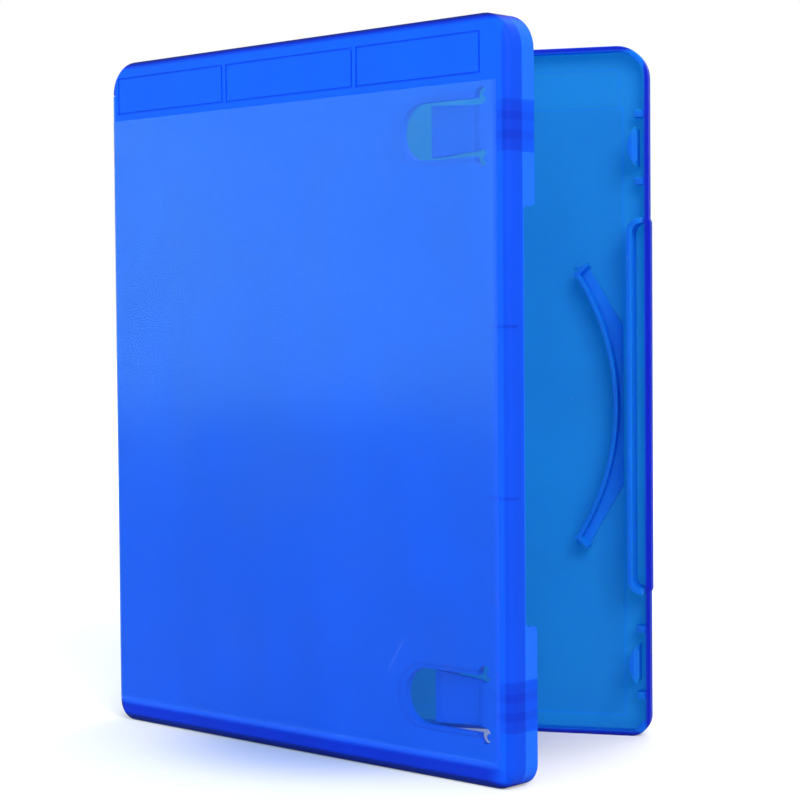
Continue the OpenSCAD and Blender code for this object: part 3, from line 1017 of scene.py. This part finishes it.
@dataclass
class UprightSheet:
    """A thin closed sheet that follows a path in plan and stands upright.

    Attributes:
        points: Plan points of the path, in millimetres in the hinge corner's frame.
        ways: Outward direction at each point.
        heights: Heights of the rows, in millimetres.
        low_side: Distance of the sheet's inner side outwards from the path, by column and row.
        high_side: Distance of the sheet's outer side outwards from the path, by column and row.
    """

    points: list[Flat]
    ways: list[Flat]
    heights: list[float]
    low_side: Callable[[int, int], float]
    high_side: Callable[[int, int], float]

    def build(
        self, name: str, materials: list[bpy.types.Material], slot: Callable[[int, int], int]
    ) -> bpy.types.Object:
        """Makes the sheet as a closed mesh in the row frame.

        Args:
            name: Name of the piece.
            materials: Its materials.
            slot: Function that gives a face's material from its column and row.

        Returns:
            The piece.
        """
        count, rows = len(self.points), len(self.heights)
        corners: list[Point] = []
        for side in (self.high_side, self.low_side):
            for row, height in enumerate(self.heights):
                for i, ((x, y), (dx, dy)) in enumerate(zip(self.points, self.ways)):
                    off = side(i, row)
                    corners.append((x + dx * off, y + dy * off, height))
        under = count * rows
        faces: list[tuple[int, ...]] = []
        slots: list[int] = []
        for row in range(rows - 1):
            for i in range(count - 1):
                a = row * count + i
                quad = (a, a + 1, a + 1 + count, a + count)
                faces.append(quad)
                faces.append(tuple(under + k for k in reversed(quad)))
                slots += [slot(i, row)] * 2
        rim = [i for i in range(count)]
        rim += [row * count + count - 1 for row in range(1, rows)]
        rim += [(rows - 1) * count + i for i in range(count - 2, -1, -1)]
        rim += [row * count for row in range(rows - 2, 0, -1)]
        for a, b in zip(rim, rim[1:] + rim[:1]):
            faces.append((b, a, under + a, under + b))
            slots.append(0)
        data = bpy.data.meshes.new(name)
        data.from_pydata(corners, [], faces)
        data.polygons.foreach_set("material_index", slots)
        for material in materials:
            data.materials.append(material)
        data.transform(corner_frame())
        if signed_volume(data) < 0:
            data.flip_normals()
        data.polygons.foreach_set("use_smooth", [True] * len(data.polygons))
        data.set_sharp_from_angle(angle=math.radians(40))
        data.update()
        piece = bpy.data.objects.new(name, data)
        bpy.context.scene.collection.objects.link(piece)
        return piece


def signed_volume(data: bpy.types.Mesh) -> float:
    """Returns the volume inside a closed mesh, negative where its faces point inwards.

    Args:
        data: The mesh.

    Returns:
        The signed volume.
    """
    data.calc_loop_triangles()
    total = 0.0
    for tri in data.loop_triangles:
        a, b, c = (data.vertices[i].co for i in tri.vertices)
        total += a.dot(b.cross(c)) / 6
    return total


def arc(centre: Flat, radius: float, start: float, turn: float, steps: int) -> list[Flat]:
    """Returns points on an arc, both ends included.

    Args:
        centre: Centre of the arc.
        radius: Radius.
        start: Start angle in degrees.
        turn: Angle covered, in degrees.
        steps: Number of pieces.

    Returns:
        The points.
    """
    angles = [math.radians(start + turn * i / steps) for i in range(steps + 1)]
    return [(centre[0] + radius * math.cos(a), centre[1] + radius * math.sin(a)) for a in angles]


def turned(points: list[Flat], degrees: float) -> list[Flat]:
    """Returns points turned about the back hinge corner.

    Args:
        points: Plan points.
        degrees: Angle, anticlockwise.

    Returns:
        The turned points.
    """
    c, s = math.cos(math.radians(degrees)), math.sin(math.radians(degrees))
    return [(x * c - y * s, x * s + y * c) for x, y in points]


def even(low: float, high: float, steps: int) -> list[float]:
    """Returns evenly spaced values, both ends included.

    Args:
        low: First value.
        high: Last value.
        steps: Number of spaces.

    Returns:
        The values.
    """
    return [low + (high - low) * i / steps for i in range(steps + 1)]


@dataclass
class LivingHinges:
    """The two bending webs beside the spine.

    Attributes:
        steps: Number of pieces in a bend.
        shoulder: Share of the bend over which the web thickens at each end.
    """

    steps: int = 20
    shoulder: float = 0.22

    def build(self, material: bpy.types.Material) -> None:
        """Makes both webs, bent to the case's opening, and hides the solids' own webs.

        Args:
            material: The webs' material.
        """
        reach, swing = SIZES.hinge_reach, -SIZES.back_open
        centre = (reach, -SIZES.back_bend)
        back = self._web("back_web", centre, SIZES.back_bend, 90, SIZES.back_turn, 0, material)
        centre = (SIZES.front_bend, reach - SIZES.thickness)
        front = self._web("front_web", centre, SIZES.front_bend, 180, SIZES.front_turn, swing, material)
        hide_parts("back_living_hinge")
        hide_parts("front_living_hinge")
        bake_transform(back)
        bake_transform(front)
        log.info("living hinges: 2 webs of %.2f mm", SIZES.web)

    def _web(
        self,
        name: str,
        centre: Flat,
        radius: float,
        start: float,
        turn: float,
        swing: float,
        material: bpy.types.Material,
    ) -> bpy.types.Object:
        """Makes one web, thin in the middle and filleted into the plates.

        Args:
            name: Name of the piece.
            centre: Centre of the bend.
            radius: Outer radius of the bend.
            start: Start angle of the bend in degrees.
            turn: Angle of the bend in degrees.
            swing: Angle by which the whole web is turned about the back hinge corner.
            material: The web's material.

        Returns:
            The piece.
        """

        def depth(column: int, row: int) -> float:
            """Gives the thickness of the web at a column."""
            share = min(column, self.steps - column) / self.steps / self.shoulder
            return SIZES.web + (SIZES.plate - SIZES.web) * 0.75 * (1 - min(share, 1)) ** 2

        sheet = UprightSheet(
            points=turned(arc(centre, radius, start, turn, self.steps), swing),
            ways=turned(arc((0, 0), 1, start, turn, self.steps), swing),
            heights=even(SIZES.spine_from, SIZES.spine_to, 24),
            low_side=lambda column, row: -depth(column, row),
            high_side=lambda column, row: 0.0,
        )
        piece = sheet.build(name, [material], lambda column, row: 0)
        return piece


@dataclass
class OuterSleeve:
    """The clear film round the outside, welded along three sides and open at the top.

    Attributes:
        gap: Gap between the film and the plastic.
        skin: Thickness of the plain film.
        ridge: Height that a weld stands over the plain film.
        weld: Width of the welded band.
        columns: Number of columns over a cover.
        rows: Number of rows.
        slack: Height of the film's slack waves.
    """

    gap: float = 0.03
    skin: float = 0.07
    ridge: float = 0.05
    weld: float = 1.1
    columns: int = 44
    rows: int = 46
    slack: float = 0.03

    def build(self, film: bpy.types.Material, welded: bpy.types.Material) -> None:
        """Makes the film in two pieces that meet in the middle of the spine.

        Args:
            film: Material of the plain film.
            welded: Material of the welded bands.
        """
        for cover in Cover:
            piece = self._half(cover, [film, welded])
            if cover is Cover.BACK:
                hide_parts("sleeve_back", "sleeve_spine")
                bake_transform(piece)
            else:
                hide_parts("sleeve_front")
                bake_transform(piece)
            log.info("sleeve film on the %s: %d faces", cover.value, len(piece.data.polygons))

    def _path(self, cover: Cover) -> tuple[list[Flat], list[Flat]]:
        """Lays the film's path in plan, from the weld on the cover to the middle of the spine.

        Args:
            cover: The cover whose half is laid.

        Returns:
            The points on the plastic and the outward directions.
        """
        reach = SIZES.hinge_reach
        back = cover is Cover.BACK
        side = SIZES.width - (SIZES.film_back_side if back else SIZES.film_front_side)
        stops = [side, side - self.weld, side - self.weld - 0.15]
        stops += even(side - self.weld - 1.5, reach, self.columns)[:-1]
        turn = SIZES.back_turn if back else SIZES.front_turn
        radius = SIZES.back_bend if back else SIZES.front_bend
        points = [(u, 0.0) for u in stops] + arc((reach, -radius), radius, 90, turn, 12)
        ways = [(0.0, 1.0)] * len(stops) + arc((0, 0), 1, 90, turn, 12)
        swing = SIZES.back_open if back else SIZES.front_open
        run = [(0.0, -down) for down in even(reach, SIZES.thickness / 2, 4)[1:]]
        points += turned(run, -swing)
        ways += turned([(-1.0, 0.0)] * len(run), -swing)
        if back:
            return points, ways
        mirrored = [[(x, -y) for x, y in part] for part in (points, ways)]
        placed = [turned(part, -SIZES.front_open) for part in mirrored]
        points = turned([(x, y - SIZES.thickness) for x, y in placed[0]], -SIZES.back_open)
        return points, turned(placed[1], -SIZES.back_open)

    def _half(self, cover: Cover, materials: list[bpy.types.Material]) -> bpy.types.Object:
        """Makes one half of the film.

        Args:
            cover: The cover whose half is made.
            materials: Materials of the plain film and the welded bands.

        Returns:
            The piece.
        """
        points, ways = self._path(cover)

        def under(column: int, row: int) -> float:
            """Gives the gap under the film, with slack away from the welds.

            Args:
                column: Column of the sheet, counted from the free edge.
                row: Row of the sheet, counted from below.

            Returns:
                The gap in millimetres.
            """
            if column < 3 or row < 3:
                return self.gap
            wave = math.sin(column * 0.55 + 1.3 * math.sin(row * 0.21)) * math.sin(row * 0.33 + column * 0.07)
            return self.gap + self.slack * (0.5 + 0.5 * wave)

        def over(column: int, row: int) -> float:
            """Gives the outer side of the film, raised along the welds."""
            weld = column < 2 or row < 2
            return under(column, row) + self.skin + (self.ridge if weld else 0)

        low, high = SIZES.film_from, SIZES.film_to
        heights = [low, low + self.weld, low + self.weld + 0.15]
        heights += even(low + self.weld + 1.5, high, self.rows)
        sheet = UprightSheet(points, ways, heights, under, over)
        name = f"sleeve_film_{cover.name.lower()}"
        return sheet.build(name, materials, lambda column, row: int(column == 0 or row == 0))


# Marks left by the mould


@dataclass
class MouldMarks:
    """Shallow rings that the ejector pins leave on the inner faces.

    Attributes:
        radius: Radius of a ring in millimetres.
        line: Radius of the ring's raised line in millimetres.
    """

    radius: float = 2.4
    line: float = 0.07

    def build(self, material: bpy.types.Material) -> None:
        """Makes the rings of both covers.

        Args:
            material: The rings' material.
        """
        between = [(40.0, 60.0), (40.0, 105.0)]
        spots = {
            Cover.FRONT: [(u, v) for u in (14.0, 48.0, 84.0) for v in (16.0, 62.0, 108.0, 154.0)],
            Cover.BACK: [(u, v) for u in (12.0, 40.0, 92.0) for v in (12.0, 153.0)] + between,
        }
        tree = self._tree(material)
        for cover, places in spots.items():
            piece = self._rings(cover, places, tree)
            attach(piece, cover.value)
            log.info("ejector marks on the %s: %d", cover.value, len(places))

    def _tree(self, material: bpy.types.Material) -> bpy.types.NodeTree:
        """Makes the Geometry Nodes tree that puts a ring on every point.

        Args:
            material: The rings' material.

        Returns:
            The node tree.
        """
        tree = bpy.data.node_groups.new("ring_on_points", "GeometryNodeTree")
        tree.interface.new_socket(name="Points", in_out="INPUT", socket_type="NodeSocketGeometry")
        tree.interface.new_socket(name="Ring Radius", in_out="INPUT", socket_type="NodeSocketFloat")
        tree.interface.new_socket(name="Line Radius", in_out="INPUT", socket_type="NodeSocketFloat")
        tree.interface.new_socket(name="Rings", in_out="OUTPUT", socket_type="NodeSocketGeometry")
        board = NodeBoard(tree)
        start, end = board.add("NodeGroupInput"), board.add("NodeGroupOutput")
        circle = "GeometryNodeCurvePrimitiveCircle"
        ring = board.add(circle, Resolution=28, Radius=start.outputs["Ring Radius"])
        line = board.add(circle, Resolution=6, Radius=start.outputs["Line Radius"])
        body = board.add("GeometryNodeCurveToMesh", Curve=ring, Profile_Curve=line)
        put = board.add("GeometryNodeInstanceOnPoints", Points=start.outputs["Points"], Instance=body)
        real = board.add("GeometryNodeRealizeInstances", Geometry=put)
        dressed = board.add("GeometryNodeSetMaterial", Geometry=real, Material=material)
        board.feed(dressed, end.inputs["Rings"])
        return tree

    def _rings(self, cover: Cover, places: list[Flat], tree: bpy.types.NodeTree) -> bpy.types.Object:
        """Makes the rings of one cover.

        Args:
            cover: The cover.
            places: Centres of the rings in the cover's own frame.
            tree: The Geometry Nodes tree.

        Returns:
            The piece.
        """
        seeds = bpy.data.meshes.new("ring_places")
        seeds.from_pydata([(u, v, SIZES.plate) for u, v in places], [], [])
        holder = bpy.data.objects.new("ring_places", seeds)
        bpy.context.scene.collection.objects.link(holder)
        modifier = holder.modifiers.new("rings", "NODES")
        modifier.node_group = tree
        sizes = {"Ring Radius": self.radius, "Line Radius": self.line}
        for item in tree.interface.items_tree:
            if item.name in sizes:
                modifier[item.identifier] = sizes[item.name]
        evaluated = holder.evaluated_get(bpy.context.evaluated_depsgraph_get())
        data = bpy.data.meshes.new_from_object(evaluated)
        bpy.data.objects.remove(holder)
        data.name = f"ejector_marks_{cover.name.lower()}"
        data.transform(cover_frame(cover))
        if signed_volume(data) < 0:
            data.flip_normals()
        piece = bpy.data.objects.new(data.name, data)
        bpy.context.scene.collection.objects.link(piece)
        return piece


# The case


@dataclass
class CaseShell:
    """The covers and the spine, which stay as the solids made them.

    Attributes:
        front: Finish of the front cover, whose dark solid tone on the rims is partly a painted dark outline.
        back: Finish of the back cover: the front's plastic painted lighter and greener, with brighter ribs,
            as painted light shining through from behind.
        spine: Finish of the spine.
        web: Finish of the living hinges.
    """

    front: PlasticFinish = field(
        default_factory=lambda: PlasticFinish(
            name="blue_front",
            thin=(0.01, 0.15, 0.93, 1.0),
            plate=(0.001, 0.105, 0.9, 1.0),
            thick=(0.0, 0.024, 0.54, 1.0),
            solid=(0.0, 0.012, 0.2, 1.0),
        )
    )
    # The back cover is a lit copy of the front's plastic: its lighter, greener plate and bright thick tone
    # are painted light shining through from behind.
    back: PlasticFinish = field(
        default_factory=lambda: PlasticFinish(
            name="blue_back_painted_light",
            thin=(0.006, 0.18, 0.63, 1.0),
            plate=(0.004, 0.166, 0.61, 1.0),
            thick=(0.0, 0.16, 1.0, 1.0),
            solid=(0.0, 0.01, 0.45, 1.0),
            transmission=0.25,
            glow=0.8,
        )
    )
    spine: PlasticFinish = field(
        default_factory=lambda: PlasticFinish(
            name="blue_spine",
            thin=(0.01, 0.13, 0.9, 1.0),
            plate=(0.006, 0.118, 0.92, 1.0),
            thick=(0.0, 0.03, 0.9, 1.0),
            solid=(0.0, 0.015, 0.6, 1.0),
        )
    )
    web: PlasticFinish = field(
        default_factory=lambda: PlasticFinish(
            name="blue_web",
            thin=(0.05, 0.24, 0.95, 1.0),
            plate=(0.03, 0.2, 0.95, 1.0),
            thick=(0.0, 0.1, 0.9, 1.0),
            solid=(0.0, 0.05, 0.7, 1.0),
            roughness=0.45,
            scratches=0.8,
        )
    )

    def build(self) -> tuple[bpy.types.Material, bpy.types.Material]:
        """Dresses the solids.

        Returns:
            The materials of the webs and of the spine, which other pieces use.
        """
        front = self.front.build(CoverSections(Cover.FRONT).lay)
        back = self.back.build(CoverSections(Cover.BACK).lay)
        spine, web = self.spine.build(), self.web.build()
        for name, material in (("front_cover", front), ("back_cover", back), ("spine", spine)):
            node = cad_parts[name]
            node.data.materials.clear()
            node.data.materials.append(material)
            log.info("dressed the %s", name)
        return web, spine


def main() -> None:
    """Builds the scene in order and reports each piece."""
    logging.basicConfig(level=logging.INFO, format="%(name)s: %(message)s")
    StudioCamera().build()
    Studio().build()
    web, plain = CaseShell().build()
    LivingHinges().build(web)
    film = FilmFinish("clear_film").build()
    welded = FilmFinish("welded_film", (0.02, 0.12, 0.9, 1.0), 0.16, 0.4, 0.1).build()
    OuterSleeve().build(film, welded)
    MouldMarks().build(plain)
    bpy.context.scene.view_settings.view_transform = "Standard"


if __name__ == "__main__":
    main()
